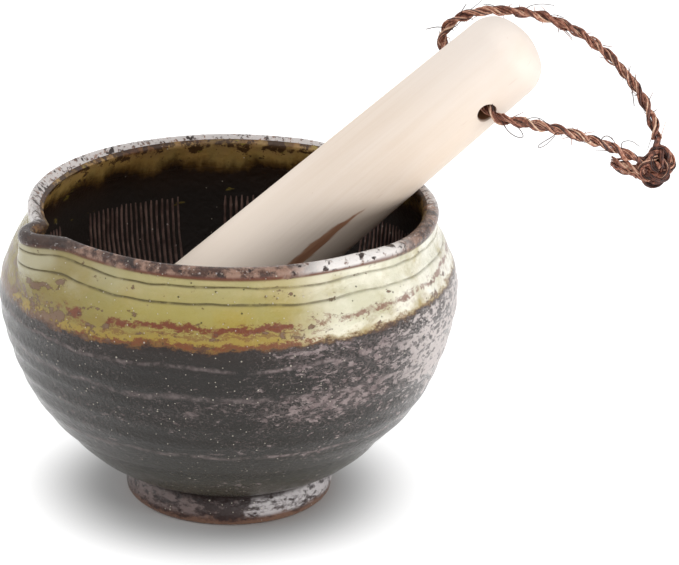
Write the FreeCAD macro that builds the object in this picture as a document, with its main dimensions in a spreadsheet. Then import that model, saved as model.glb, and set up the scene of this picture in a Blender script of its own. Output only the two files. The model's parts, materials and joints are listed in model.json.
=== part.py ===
import FreeCAD, Part
import math
import os

import Sketcher
from FreeCAD import Placement, Rotation, Vector

# A small Japanese grinding bowl with its pestle, in millimetres and degrees.
# The origin is on the bowl's axis, at the plane of its foot. +Z is up, +X is the
# side that the pestle leans to, and -Y is the side seen in front.

SIZES = {
    # bowl, outside, from the foot up
    "foot_radius": 27.6,
    "foot_edge": 1.2,
    "foot_waist_radius": 25.4,
    "foot_waist_height": 7.0,
    "foot_recess_radius": 21.0,
    "foot_recess_depth": 4.0,
    "foot_recess_slant": 1.0,
    "turn_radius": 44.9,
    "turn_height": 22.0,
    "facet_radius": 57.3,
    "facet_height": 43.0,
    "belly_radius": 60.0,
    "belly_height": 57.0,
    "neck_radius": 54.6,
    "neck_height": 74.0,
    "rim_height": 81.0,
    "rim_radius": 54.0,
    "rim_bead": 2.1,
    "rim_wall": 3.0,
    "bead_bite": 0.5,
    # how far each stretch of the outside swells off its chord
    "foot_waist_bow": 0.7,
    "lower_bow": 2.1,
    "middle_bow": 2.2,
    "shoulder_bow": 1.5,
    # bowl, inside: one ball-shaped hollow
    "hollow_radius": 53.0,
    "hollow_height": 61.5,
    # pouring lip, pinched out of the rim
    "lip_azimuth": 210.0,
    "lip_reach": 6.8,
    "lip_bend": 6.2,
    "lip_back_corner": 6.0,
    "lip_front_corner": 16.0,
    "lip_root_height": 63.0,
    "lip_root_reach": 3.6,
    "channel_root_height": 66.0,
    "channel_root_reach": 1.4,
    # pestle
    "pestle_length": 148.0,
    "pestle_foot_radius": 14.6,
    "pestle_head_radius": 11.7,
    "pestle_foot_round": 5.0,
    "pestle_dome": 10.0,
    "pestle_tilt": 41.0,
    "pestle_azimuth": 8.0,
    "pestle_offset": 6.7,
    "pestle_clearance": 0.3,
    # cross hole near the pestle's head
    "hole_radius": 2.5,
    "hole_mouth": 0.6,
    "hole_from_head": 20.8,
    "hole_turn": -63.0,
    # rope of palm fibre
    "rope_diameter": 3.2,
    "knot_turn_radius": 3.9,
    "knot_clearance": 0.3,
}

# Points of the rope's route in the pestle's own directions, from the middle of the
# cross hole: along the hole, across both, and along the pestle towards its head.
# It leaves the knot, goes in at the front mouth, out at the back one, over the
# pestle's head and back into the knot.
ROPE_ROUTE = [
    (29.2, 31.4, 21.6),
    (26.8, 24.4, 18.6),
    (22.9, 15.4, 13.6),
    (20.0, 8.0, 8.4),
    (17.9, 2.6, 4.4),
    (14.8, 0.4, 0.4),
    (-15.2, -0.3, 0.2),
    (-18.9, -1.8, 3.0),
    (-19.1, -3.2, 8.6),
    (-16.4, -1.6, 15.2),
    (-13.4, 2.8, 21.4),
    (-8.9, 8.1, 27.0),
    (-3.0, 13.6, 31.1),
    (4.0, 18.9, 33.2),
    (11.1, 24.3, 33.9),
    (18.0, 28.8, 33.0),
    (22.9, 32.0, 31.4),
    (26.2, 34.6, 29.0),
]
KNOT_MIDDLE = (30.4, 37.0, 23.5)
KNOT_TURNS = [(1.0, 0.2, 0.3), (-0.2, 1.0, 0.4), (0.4, -0.5, 1.0)]
KNOT_TAILS = [(24.0, 30.0, 17.0), (26.6, 31.2, 14.6)]


# A quarter-round edge swells this share of its radius off its chord.
ROUND_EDGE = 1 - math.sqrt(0.5)
HOLLOW_STEPS = 8
BEAD_SIDES = 6
ROPE_SIDES = 6
KNOT_SIDES = 7


class Size:
    """A value of the sheet: its number, and the expression that gives it."""

    def __init__(self, number, text):
        self.number = float(number)
        self.text = text

    def _join(self, other, sign, number):
        text = other.text if isinstance(other, Size) else repr(float(other))
        return Size(number, "(%s %s %s)" % (self.text, sign, text))

    def __add__(self, other):
        return self._join(other, "+", self.number + value(other))

    def __sub__(self, other):
        return self._join(other, "-", self.number - value(other))

    def __mul__(self, other):
        return self._join(other, "*", self.number * value(other))

    def __truediv__(self, other):
        return self._join(other, "/", self.number / value(other))


def value(size):
    return size.number if isinstance(size, Size) else float(size)


class Sheet:
    """The spreadsheet of driving dimensions, read by name as Size values."""

    def __init__(self, doc, sizes):
        self.cells = doc.addObject("Spreadsheet::Sheet", "Sizes")
        for row, (name, number) in enumerate(sizes.items(), start=1):
            self.cells.set("A%d" % row, name)
            self.cells.set("B%d" % row, str(number))
            self.cells.setAlias("B%d" % row, name)
            setattr(self, name, Size(number, "Sizes.%s" % name))


def origin_plane(body, role):
    return next(f for f in body.Origin.OriginFeatures if f.Role == role)


def new_sketch(body, name, role, offset=Placement()):
    sketch = body.newObject("Sketcher::SketchObject", name)
    sketch.AttachmentSupport = [(origin_plane(body, role), "")]
    sketch.MapMode = "FlatFace"
    sketch.AttachmentOffset = offset
    return sketch


def arc_points(a, b, rise, steps):
    """Points from a to b on the arc whose middle stands rise off the chord.

    A positive rise is to the right of the way from a to b, a negative one to its left.
    """
    chord = b - a
    side = Vector(chord.y, -chord.x, 0).normalize()
    radius = (chord.Length ** 2 / 4 + rise ** 2) / (2 * abs(rise))
    centre = (a + b) / 2 + side * (rise - math.copysign(radius, rise))
    arm = a - centre
    turn = math.copysign(2 * math.asin(chord.Length / 2 / radius), rise)
    points = []
    for step in range(1, steps):
        angle = turn * step / steps
        points.append(centre + Rotation(Vector(0, 0, 1), math.degrees(angle)).multVec(arm))
    return points


class Outline:
    """A closed sketch outline whose corners are tied to the sheet.

    A round stretch is a run of short chords, evenly spaced along its arc.
    """

    def __init__(self, sketch, x, y):
        self.sketch = sketch
        self.start = (x, y)
        self.here = self._point(x, y)
        self.last = None

    def _point(self, x, y):
        return Vector(value(x), value(y), 0)

    def _tie(self, element, end, corner):
        for kind, axis, size in (("DistanceX", -2, corner[0]), ("DistanceY", -1, corner[1])):
            if abs(value(size)) < 1e-9:
                tie = Sketcher.Constraint("PointOnObject", element, end, axis)
                self.sketch.addConstraint(tie)
                continue
            tie = Sketcher.Constraint(kind, -1, 1, element, end, value(size))
            index = self.sketch.addConstraint(tie)
            self.sketch.setExpression("Constraints[%d]" % index, size.text)

    def _add(self, point):
        line = Part.LineSegment(self.here, point)
        element = self.sketch.addGeometry(line, False)
        if self.last is None:
            self._tie(element, 1, self.start)
        else:
            self.sketch.addConstraint(Sketcher.Constraint("Coincident", self.last, 2, element, 1))
        self.last = element
        self.here = point

    def line_to(self, x, y):
        self._add(self._point(x, y))
        self._tie(self.last, 2, (x, y))

    def arc_to(self, x, y, rise, steps):
        for point in arc_points(self.here, self._point(x, y), value(rise), steps):
            self._add(point)
        self.line_to(x, y)

    def close(self):
        self._add(self._point(*self.start))
        self.sketch.addConstraint(Sketcher.Constraint("Coincident", self.last, 2, 0, 1))


def polygon(sketch, middle, radius, sides):
    """A regular outline round middle, with a flat side at its top."""
    corners = []
    for side in range(sides):
        angle = 2 * math.pi * (side + 0.5) / sides
        corners.append(middle + Vector(radius * math.cos(angle), radius * math.sin(angle), 0))
    for a, b in zip(corners, corners[1:] + corners[:1]):
        sketch.addGeometry(Part.LineSegment(a, b), False)


def revolve(body, name, sketch, kind="PartDesign::Revolution"):
    feature = body.newObject(kind, name)
    feature.Profile = sketch
    feature.ReferenceAxis = (sketch, ["V_Axis"])
    feature.Angle = 360
    sketch.Visibility = False
    return feature


def bowl_wall(body, s):
    """The turned outside with its foot ring, still solid inside."""
    sketch = new_sketch(body, "WallProfile", "XZ_Plane")
    zero = Size(0, "0")
    top = s.rim_height - s.rim_bead - s.bead_bite
    outline = Outline(sketch, zero, s.foot_recess_depth)
    outline.line_to(s.foot_recess_radius - s.foot_recess_slant, s.foot_recess_depth)
    outline.line_to(s.foot_recess_radius, zero)
    outline.line_to(s.foot_radius - s.foot_edge, zero)
    outline.arc_to(s.foot_radius, s.foot_edge, s.foot_edge * ROUND_EDGE, 1)
    outline.arc_to(s.foot_waist_radius, s.foot_waist_height, s.foot_waist_bow * -1, 2)
    outline.arc_to(s.turn_radius, s.turn_height, s.lower_bow, 3)
    outline.arc_to(s.facet_radius, s.facet_height, s.middle_bow, 3)
    outline.line_to(s.belly_radius, s.belly_height)
    outline.arc_to(s.neck_radius, s.neck_height, s.shoulder_bow, 3)
    outline.line_to(s.rim_radius - s.rim_bead + s.rim_wall / 2, top)
    outline.line_to(zero, top)
    outline.close()
    return revolve(body, "Wall", sketch)


def bowl_hollow(body, s):
    """The ball-shaped hollow, with a straight way up through the rim."""
    sketch = new_sketch(body, "HollowProfile", "XZ_Plane")
    zero = Size(0, "0")
    mouth = s.rim_radius - s.rim_bead - s.rim_wall / 2
    rise = math.sqrt(s.hollow_radius.number ** 2 - mouth.number ** 2)
    shoulder = Size(s.hollow_height.number + rise,
                    "Sizes.hollow_height + sqrt(Sizes.hollow_radius ^ 2 - %s ^ 2)" % mouth.text)
    floor = s.hollow_height - s.hollow_radius
    chord = math.hypot(mouth.number, shoulder.number - floor.number)
    bow = s.hollow_radius.number - math.sqrt(s.hollow_radius.number ** 2 - chord ** 2 / 4)
    outline = Outline(sketch, zero, floor)
    outline.arc_to(mouth, shoulder, bow, HOLLOW_STEPS)
    outline.line_to(mouth, s.rim_height)
    outline.line_to(zero, s.rim_height)
    outline.close()
    return revolve(body, "Hollow", sketch, "PartDesign::Groove")


class LipLine:
    """The rim's line near the lip, seen from above with the lip on +X.

    The rim's ring gives way to a corner that bends back, the rounded nose, and the
    other corner. Every stretch meets the next smoothly. The same line moved outward
    or inward by half a wall gives the two faces of the lip.
    """

    def __init__(self, s, reach):
        self.ring = s.rim_radius.number - s.rim_bead.number
        self.nose = s.lip_bend.number
        self.corners = (s.lip_back_corner.number, s.lip_front_corner.number)
        self.middle = self.ring + reach - self.nose
        self.turns = [self._turn(corner) for corner in self.corners]

    def _turn(self, corner):
        to_ring, to_nose = self.ring + corner, self.nose + corner
        cosine = self.middle ** 2 + to_ring ** 2 - to_nose ** 2
        return math.acos(cosine / (2 * self.middle * to_ring))

    def _corner_middle(self, side):
        corner, turn = self.corners[side], self.turns[side]
        sign = 1 if side else -1
        far = self.ring + corner
        return Vector(far * math.cos(turn), sign * far * math.sin(turn), 0)

    def _lean(self, side):
        spot = self._corner_middle(side)
        return math.atan2(abs(spot.y), spot.x - self.middle)

    def arcs(self, out=0.0):
        """The back corner, the nose and the front corner, moved outward by out."""
        up = Vector(0, 0, 1)
        back = Part.Circle(self._corner_middle(0), up, self.corners[0] - out)
        nose = Part.Circle(Vector(self.middle, 0, 0), up, self.nose + out)
        front = Part.Circle(self._corner_middle(1), up, self.corners[1] - out)
        return [
            Part.ArcOfCircle(back, math.pi - self._lean(0), math.pi - self.turns[0]),
            Part.ArcOfCircle(nose, -self._lean(0), self._lean(1)),
            Part.ArcOfCircle(front, math.pi + self.turns[1], math.pi + self._lean(1)),
        ]

    def ring_arcs(self):
        """The rest of the rim, in two halves that meet opposite the lip."""
        ring = Part.Circle(Vector(0, 0, 0), Vector(0, 0, 1), self.ring)
        return [Part.ArcOfCircle(ring, self.turns[1], math.pi),
                Part.ArcOfCircle(ring, -math.pi, -self.turns[0])]

    def foot(self, side, out):
        """Where the moved line meets the ring, and the same way but far inside it."""
        sign = 1 if side else -1
        way = Vector(math.cos(self.turns[side]), sign * math.sin(self.turns[side]), 0)
        return way * (self.ring + out), way * (self.ring * 0.75)


def lip_sketch(body, name, s, height, reach, out):
    """A closed outline: one face of the lip, shut well inside the bowl."""
    line = LipLine(s, value(reach))
    turn = Placement(Vector(0, 0, value(height)), Rotation(Vector(0, 0, 1), s.lip_azimuth.number))
    sketch = new_sketch(body, name, "XY_Plane", turn)
    back, back_inside = line.foot(0, out)
    front, front_inside = line.foot(1, out)
    edges = [Part.LineSegment(back_inside, back)]
    edges += line.arcs(out)
    edges += [Part.LineSegment(front, front_inside), Part.LineSegment(front_inside, back_inside)]
    for edge in edges:
        sketch.addGeometry(edge, False)
    return sketch


def lip_loft(body, kind, name, sections):
    loft = body.newObject(kind, name)
    loft.Profile = sections[0]
    loft.Sections = sections[1:]
    loft.Ruled = True
    for sketch in sections:
        sketch.Visibility = False
    return loft


def bowl_lip_wall(body, s):
    """The pinched wall of the pouring lip, which leans out from the neck."""
    top = s.rim_height - s.rim_bead - s.bead_bite
    half = s.rim_wall.number / 2
    return lip_loft(body, "PartDesign::AdditiveLoft", "LipWall", [
        lip_sketch(body, "LipRoot", s, s.lip_root_height, s.lip_root_reach, half),
        lip_sketch(body, "LipTop", s, top, s.lip_reach, half)])


def bowl_lip_channel(body, s):
    """The channel inside the lip, which fades into the hollow lower down."""
    half = s.rim_wall.number / 2
    return lip_loft(body, "PartDesign::SubtractiveLoft", "LipChannel", [
        lip_sketch(body, "ChannelRoot", s, s.channel_root_height, s.channel_root_reach, -half),
        lip_sketch(body, "ChannelTop", s, s.rim_height, s.lip_reach, -half)])


def bowl_bead(body, s):
    """The rounded bead that runs along the rim and out around the lip."""
    height = s.rim_height - s.rim_bead
    line = LipLine(s, s.lip_reach.number)
    turn = Rotation(Vector(0, 0, 1), s.lip_azimuth.number)
    path = new_sketch(body, "BeadPath", "XY_Plane", Placement(Vector(0, 0, height.number), turn))
    for arc in line.ring_arcs() + line.arcs():
        path.addGeometry(arc, False)
    turn = Rotation(Vector(0, 1, 0), s.lip_azimuth.number)
    section = new_sketch(body, "BeadSection", "XZ_Plane", Placement(Vector(0, 0, 0), turn))
    across = s.rim_radius - s.rim_bead
    polygon(section, Vector(-across.number, height.number, 0), s.rim_bead.number, BEAD_SIDES)
    bead = body.newObject("PartDesign::AdditivePipe", "RimBead")
    bead.Profile = section
    bead.Spine = path
    return bead


def report_step(doc, body, feature):
    doc.recompute()
    print(feature.Label, feature.State, round(feature.Shape.Volume, 1), len(feature.Shape.Solids),
          len(feature.Shape.Faces))


def build_bowl(doc, s):
    body = doc.addObject("PartDesign::Body", "Bowl")
    body.Label = "bowl"
    for step in (bowl_wall, bowl_lip_wall, bowl_hollow, bowl_lip_channel, bowl_bead):
        report_step(doc, body, step(body, s))
    return body


class Seat:
    """Where the pestle lies: on the rim's bead and in the hollow, a clearance off both."""

    def __init__(self, s):
        self.length = s.pestle_length.number
        self.foot = s.pestle_foot_radius.number
        self.head = s.pestle_head_radius.number
        self.round = s.pestle_foot_round.number
        self.clearance = s.pestle_clearance.number
        self.bead = s.rim_bead.number
        self.bead_path = s.rim_radius.number - s.rim_bead.number
        self.bead_height = s.rim_height.number - s.rim_bead.number
        # the hollow's short chords stand this far inside its true round
        chord_step = 100.0 / HOLLOW_STEPS
        self.hollow = s.hollow_radius.number * math.cos(math.radians(chord_step / 2))
        self.hollow_middle = Vector(0, 0, s.hollow_height.number)
        self.turn = Rotation(Vector(0, 0, 1), s.pestle_azimuth.number).multiply(
            Rotation(Vector(0, 1, 0), 90 - s.pestle_tilt.number))
        self.along = self.turn.multVec(Vector(0, 0, 1))
        self.across = self.turn.multVec(Vector(0, 1, 0))
        self.under = self.turn.multVec(Vector(1, 0, 0))
        self.ahead = self.across.cross(Vector(0, 0, 1))
        self.offset = s.pestle_offset.number
        self.spin = Rotation(Vector(0, 0, 1), s.hole_turn.number)
        self.foot_point = self._settle()

    def _radius(self, station):
        return self.foot + (self.head - self.foot) * station / self.length

    def _rim_gap(self, foot_point):
        gaps = []
        for step in range(-180, 180):
            angle = math.radians(step / 2.0)
            spot = Vector(self.bead_path * math.cos(angle), self.bead_path * math.sin(angle),
                          self.bead_height) - foot_point
            station = spot.dot(self.along)
            away = (spot - self.along * station).Length
            gaps.append(away - self._radius(station) - self.bead)
        return min(gaps)

    def _hollow_gap(self, foot_point):
        middle = foot_point + self.along * self.round
        ring = self.foot - self.round
        reach = max((middle + self.under * (ring * math.cos(math.radians(a)))
                     + self.across * (ring * math.sin(math.radians(a)))
                     - self.hollow_middle).Length for a in range(0, 360, 2))
        return self.hollow - reach - self.round

    def _slide(self, low, high, gap, place):
        """The place between low and high where the gap comes down to the clearance."""
        for _ in range(40):
            half = (low + high) / 2
            if gap(place(half)) > self.clearance:
                low = half
            else:
                high = half
        return place(low)

    def _settle(self):
        side = self.across * self.offset
        inside = side + Vector(0, 0, self.bead_height)
        point = inside
        for _ in range(12):
            foot_point = self._slide(0.0, 2 * self.hollow, self._hollow_gap,
                                     lambda far: point - self.along * far)
            drop = (foot_point - point).dot(self.along)
            outward = self._slide(0.0, self.bead_path, self._rim_gap,
                                  lambda far: inside + self.ahead * far + self.along * drop)
            point = outward - self.along * drop
        return foot_point

    def placement(self, station=0.0):
        return Placement(self.foot_point + self.along * station, self.turn.multiply(self.spin))


def build_pestle(doc, s, seat):
    body = doc.addObject("PartDesign::Body", "Pestle")
    body.Label = "pestle"
    zero = Size(0, "0")
    sketch = new_sketch(body, "PestleProfile", "XZ_Plane")
    outline = Outline(sketch, zero, zero)
    outline.line_to(s.pestle_foot_radius - s.pestle_foot_round, zero)
    outline.arc_to(s.pestle_foot_radius, s.pestle_foot_round, s.pestle_foot_round * ROUND_EDGE, 3)
    outline.line_to(s.pestle_head_radius, s.pestle_length - s.pestle_dome)
    outline.arc_to(s.pestle_head_radius * 0.66, s.pestle_length - s.pestle_dome * 0.22, 1.25, 2)
    outline.arc_to(zero, s.pestle_length, 0.45, 2)
    outline.close()
    revolve(body, "Turned", sketch)
    hole = new_sketch(body, "HoleSketch", "YZ_Plane")
    height = s.pestle_length - s.hole_from_head
    hole.addGeometry(Part.Circle(Vector(0, height.number, 0), Vector(0, 0, 1),
                                 s.hole_radius.number), False)
    hole.addConstraint(Sketcher.Constraint("PointOnObject", 0, 3, -2))
    hole.addConstraint(Sketcher.Constraint("DistanceY", -1, 1, 0, 3, height.number))
    hole.addConstraint(Sketcher.Constraint("Radius", 0, s.hole_radius.number))
    hole.setExpression("Constraints[1]", height.text)
    hole.setExpression("Constraints[2]", s.hole_radius.text)
    bore = body.newObject("PartDesign::Pocket", "CrossHole")
    bore.Profile = hole
    bore.Type = "ThroughAll"
    bore.Midplane = True
    doc.recompute()
    mouths = ["Edge%d" % (n + 1) for n, edge in enumerate(bore.Shape.Edges)
              if abs(edge.CenterOfMass.z - height.number) < 1.0
              and abs(edge.CenterOfMass.x) > s.pestle_head_radius.number / 2
              and edge.BoundBox.YLength > s.hole_radius.number]
    soft = body.newObject("PartDesign::Chamfer", "HoleMouths")
    soft.Base = (bore, mouths)
    soft.Size = s.hole_mouth.number
    soft.setExpression("Size", s.hole_mouth.text)
    body.Placement = seat.placement()
    return body


def rope_path(points):
    """Straight runs joined by arcs, each arc as large as its two runs allow."""
    spots = [Vector(*p) for p in points]
    edges = []
    here = spots[0]
    for before, corner, after in zip(spots, spots[1:], spots[2:]):
        back = (before - corner)
        on = (after - corner)
        shorter = min(back.Length, on.Length)
        back.normalize()
        on.normalize()
        half = (math.pi - back.getAngle(on)) / 2
        trim = 0.45 * shorter
        radius = trim / math.tan(half)
        print("rope bend of %.0f degrees, radius %.1f" % (math.degrees(2 * half), radius))
        start = corner + back * trim
        end = corner + on * trim
        inward = (back + on).normalize()
        middle = corner + inward * (radius / math.cos(half) - radius)
        edges.append(Part.LineSegment(here, start).toShape())
        edges.append(Part.Arc(start, middle, end).toShape())
        here = end
    edges.append(Part.LineSegment(here, spots[-1]).toShape())
    return Part.Wire(edges)


def rope_section(middle, heading, radius):
    """A many-sided round across the rope, square to its heading."""
    square = Rotation(Vector(0, 0, 1), heading)
    corners = []
    for side in range(ROPE_SIDES + 1):
        angle = 2 * math.pi * side / ROPE_SIDES
        arm = Vector(radius * math.cos(angle), radius * math.sin(angle), 0)
        corners.append(middle + square.multVec(arm))
    corners[-1] = corners[0]
    return Part.makePolygon(corners)


def build_rope(doc, s, seat):
    path = rope_path(ROPE_ROUTE)
    start = Vector(*ROPE_ROUTE[0])
    heading = Vector(*ROPE_ROUTE[1]) - start
    radius = s.rope_diameter.number / 2
    section = rope_section(start, heading, radius)
    tube = path.makePipeShell([section], True, False)
    straight = Part.Face(section).Area * path.Length
    print("rope length %.1f, volume %.1f of %.1f" % (path.Length, tube.Volume, straight))
    rope = doc.addObject("Part::Feature", "Rope")
    rope.Label = "hanging_rope"
    rope.Shape = tube
    rope.Placement = seat.placement(s.pestle_length.number - s.hole_from_head.number)
    return rope


def ring_of_rope(middle, axis, radius, strand):
    """One tight turn of rope, as a closed ring of straight lengths."""
    square = Rotation(Vector(0, 0, 1), axis)
    spots = []
    for side in range(KNOT_SIDES + 1):
        angle = 2 * math.pi * side / KNOT_SIDES
        arm = Vector(radius * math.cos(angle), radius * math.sin(angle), 0)
        spots.append(square.multVec(arm) + middle)
    halfway = (spots[0] + spots[1]) / 2
    ring = [halfway] + spots[1:-1] + [spots[0], halfway]
    path = Part.makePolygon(ring)
    section = rope_section(halfway, spots[1] - spots[0], strand)
    return path.makePipeShell([section], True, False, 1)


def build_knot(doc, s, seat):
    """The knot that closes the rope's loop: three tight turns and two cut tails."""
    middle = Vector(*KNOT_MIDDLE)
    strand = s.rope_diameter.number / 2
    forms = [ring_of_rope(middle, Vector(*axis), s.knot_turn_radius.number, strand)
             for axis in KNOT_TURNS]
    for tip in KNOT_TAILS:
        way = Vector(*tip) - middle
        section = Part.Face(rope_section(middle, way, strand))
        forms.append(section.extrude(way))
    form = forms[0].fuse(forms[1:])
    for end, beside in ((ROPE_ROUTE[0], ROPE_ROUTE[1]), (ROPE_ROUTE[-1], ROPE_ROUTE[-2])):
        outward = (Vector(*beside) - Vector(*end)).normalize()
        clear = Part.Face(rope_section(Vector(*end), outward, strand + s.knot_clearance.number))
        form = form.cut(clear.extrude(outward * 4 * strand))
    knot = doc.addObject("Part::Feature", "Knot")
    knot.Label = "rope_knot"
    knot.Shape = form
    knot.Placement = seat.placement(s.pestle_length.number - s.hole_from_head.number)
    return knot


def check(doc, parts):
    """Every object is sound, and every sub-part is a closed solid."""
    for thing in doc.Objects:
        if "Invalid" in thing.State or "Error" in thing.State:
            raise RuntimeError("%s is not sound: %s" % (thing.Label, thing.State))
    for part in parts:
        if part.Shape.isNull() or not part.Shape.isValid():
            raise RuntimeError("%s has no valid shape" % part.Label)


def main():
    os.makedirs("parts", exist_ok=True)
    doc = FreeCAD.newDocument("GrindingBowl")
    s = Sheet(doc, SIZES)
    doc.recompute()
    seat = Seat(s)
    parts = [build_bowl(doc, s), build_pestle(doc, s, seat), build_rope(doc, s, seat),
             build_knot(doc, s, seat)]
    doc.recompute()
    check(doc, parts)
    hole = seat.placement(s.pestle_length.number - s.hole_from_head.number)
    print("cross hole's middle", hole.Base, "along", hole.Rotation.multVec(Vector(1, 0, 0)))
    for part in parts:
        print(part.Label, len(part.Shape.Solids), round(part.Shape.Volume, 1), part.Shape.BoundBox)
        part.Shape.exportStep("parts/%s.step" % part.Label)


main()
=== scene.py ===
"""A glazed grinding bowl, its wooden pestle, and the loop of palm rope through the pestle."""

import json
import math
import random

import bpy
import numpy as np
from mathutils import Matrix, Vector, noise


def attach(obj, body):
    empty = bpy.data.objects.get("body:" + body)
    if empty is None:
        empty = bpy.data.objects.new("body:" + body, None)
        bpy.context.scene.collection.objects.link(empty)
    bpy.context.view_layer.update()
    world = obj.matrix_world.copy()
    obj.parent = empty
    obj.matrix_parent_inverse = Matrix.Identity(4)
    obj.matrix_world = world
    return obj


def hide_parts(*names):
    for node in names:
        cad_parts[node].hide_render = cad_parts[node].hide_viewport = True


MM = 0.001

# Sizes are in millimetres and degrees.
RIM_HEIGHT = 81.0
BEAD = 2.1
RING = 51.9
BEAD_HEIGHT = RIM_HEIGHT - BEAD
BALL = 53.0
BALL_HEIGHT = 61.5
LIP_AZIMUTH = 210.0
LIP_REACH = 6.8
LIP_BEND = 6.2
LIP_CORNERS = (6.0, 16.0)
LIP_ROOT = 63.0
CHANNEL_ROOT = 65.0
WALL_ARCS = [
    # radius, height, swell off the chord from the one before
    (25.3, 8.2, 0.0),
    (44.9, 22.0, 2.0),
    (57.3, 43.0, 2.2),
    (60.0, 57.0, 0.35),
    (54.6, 74.0, 1.5),
    (53.5, 77.7, 0.0),
]
# The recess in the foot and the foot ring's flat underside: radius, height.
RECESS_HEIGHT = 4.0
RECESS = [(7.0, RECESS_HEIGHT), (14.0, RECESS_HEIGHT), (19.4, RECESS_HEIGHT), (20.2, 3.6),
          (20.9, 0.5), (21.4, 0.0), (24.0, 0.0)]
# The incised lines: height, depth. Then how deep one is cut, either side of its middle.
INCISED = [(76.0, 0.42), (72.1, 0.38)]
CUT = [(-0.6, 0.0), (-0.32, 0.12), (-0.16, 0.8), (0.0, 1.0), (0.16, 0.8), (0.32, 0.12),
       (0.6, 0.0)]
THROWN_PITCH = 5.3
THROWN_DEPTH = 0.11
SLOW_PITCH = 8.9
HAND_DEPTH = 0.3
# Where the thrown wall stands off its true round, on the lip's side and the pestle's
HEIGHTS_UNEVEN = [0.0, 14.0, 22.0, 30.0, 38.0, 46.0, 54.0, 62.0, 68.0, 74.0, 81.0]
LEFT_UNEVEN = [0.0, -0.3, -0.2, -0.5, 0.0, 0.8, 0.8, 0.0, -0.8, -1.0, -1.0]
RIGHT_UNEVEN = [0.0, -0.6, -1.4, -1.2, -0.8, 0.0, 0.1, 0.0, -0.4, 0.0, 0.6]
RIM_RISE = 1.3
PESTLE_GAP = 0.25

COMB_STROKES = 8
COMB_LINES = 19
COMB_PITCH = 1.55
COMB_RIDGE = 0.42
COMB_TURN = 33.7
COMB_LOW_END = 5.0
COMB_HIGH_END = 93.0

PESTLE_LENGTH = 148.0
PESTLE_FOOT = 14.6
PESTLE_HEAD = 11.7
PESTLE_ROUND = 5.0
PESTLE_DOME = 10.0
PESTLE_TILT = 41.0
PESTLE_AZIMUTH = 8.0
HOLE_FROM_HEAD = 20.8
HOLE_RADIUS = 2.5
# The darker streak up the pestle: heights and the angle of its middle, then its half width.
STREAK_MIDDLE = [50.0, 62.0, 78.0, 88.0], [-20.0, -17.0, -16.5, -11.5]
STREAK_HALF = [50.0, 57.0, 64.0, 74.0, 80.0, 88.0], [0.0, 5.5, 6.8, 6.0, 3.2, 0.0]

# The rope's way in the pestle's own directions, from the middle of the cross hole:
# along the hole, across both, and along the pestle towards its head.
ROPE_WAY = [
    (29.2, 31.4, 21.6),
    (26.8, 24.4, 18.6),
    (22.9, 15.4, 13.6),
    (20.0, 8.0, 8.4),
    (17.9, 2.6, 4.4),
    (14.8, 0.4, 0.4),
    (-15.2, -0.3, 0.2),
    (-18.9, -1.8, 3.0),
    (-19.1, -3.2, 8.6),
    (-16.4, -1.6, 15.2),
    (-13.4, 2.8, 21.4),
    (-8.9, 8.1, 27.0),
    (-3.0, 13.6, 31.1),
    (4.0, 18.9, 33.2),
    (11.1, 24.3, 33.9),
    (18.0, 28.8, 33.0),
    (22.9, 32.0, 31.4),
    (26.2, 34.6, 29.0),
]
KNOT_MIDDLE = (30.4, 37.0, 23.5)

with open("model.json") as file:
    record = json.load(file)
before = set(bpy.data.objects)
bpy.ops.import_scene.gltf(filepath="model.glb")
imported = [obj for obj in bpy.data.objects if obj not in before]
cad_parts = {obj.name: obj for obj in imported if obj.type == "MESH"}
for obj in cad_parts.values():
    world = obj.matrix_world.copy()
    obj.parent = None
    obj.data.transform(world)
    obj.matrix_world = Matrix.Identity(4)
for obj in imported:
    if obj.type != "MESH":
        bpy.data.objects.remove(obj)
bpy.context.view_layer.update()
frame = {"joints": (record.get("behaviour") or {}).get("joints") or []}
swing = next(j for j in frame["joints"] if j["name"] == "loop_swing")
HOLE_MIDDLE = Vector(swing["pos_m"])
ALONG_HOLE = Vector(swing["axis"]).normalized()
UP_PESTLE = Vector((
    math.cos(math.radians(PESTLE_AZIMUTH)) * math.cos(math.radians(PESTLE_TILT)),
    math.sin(math.radians(PESTLE_AZIMUTH)) * math.cos(math.radians(PESTLE_TILT)),
    math.sin(math.radians(PESTLE_TILT)),
))
ACROSS = UP_PESTLE.cross(ALONG_HOLE)
OWN = Matrix((ALONG_HOLE, ACROSS, UP_PESTLE)).transposed()


def placed(point):
    """A point given in the pestle's own directions, in millimetres, in the object's frame."""
    return HOLE_MIDDLE + OWN @ (Vector(point) * MM)


def link(obj):
    bpy.context.scene.collection.objects.link(obj)
    return obj


def mesh_piece(name, points, faces, material, smooth=True):
    mesh = bpy.data.meshes.new(name)
    mesh.from_pydata([tuple(p) for p in points], [], faces)
    mesh.polygons.foreach_set("use_smooth", [smooth] * len(mesh.polygons))
    mesh.materials.append(material)
    mesh.update()
    return link(bpy.data.objects.new(name, mesh))


def add_values(obj, name, values):
    layer = obj.data.attributes.new(name, "FLOAT", "POINT")
    layer.data.foreach_set("value", np.asarray(values, np.float32))


def frozen(obj, name):
    """The object's evaluated shape as a plain mesh of its own; the object goes."""
    depsgraph = bpy.context.evaluated_depsgraph_get()
    mesh = bpy.data.meshes.new_from_object(obj.evaluated_get(depsgraph))
    bpy.data.objects.remove(obj)
    mesh.name = name
    return link(bpy.data.objects.new(name, mesh))


def round_faces(columns, rows):
    """Faces of a closed round shape: its first point, rows of points, and its last point."""
    faces = []
    for column in range(columns):
        after = (column + 1) % columns
        faces.append((0, 1 + after, 1 + column))
        for level in range(rows - 1):
            low = 1 + level * columns
            high = low + columns
            faces.append((low + column, low + after, high + after, high + column))
        top = 1 + (rows - 1) * columns
        faces.append((top + column, top + after, top + columns))
    return faces


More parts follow.
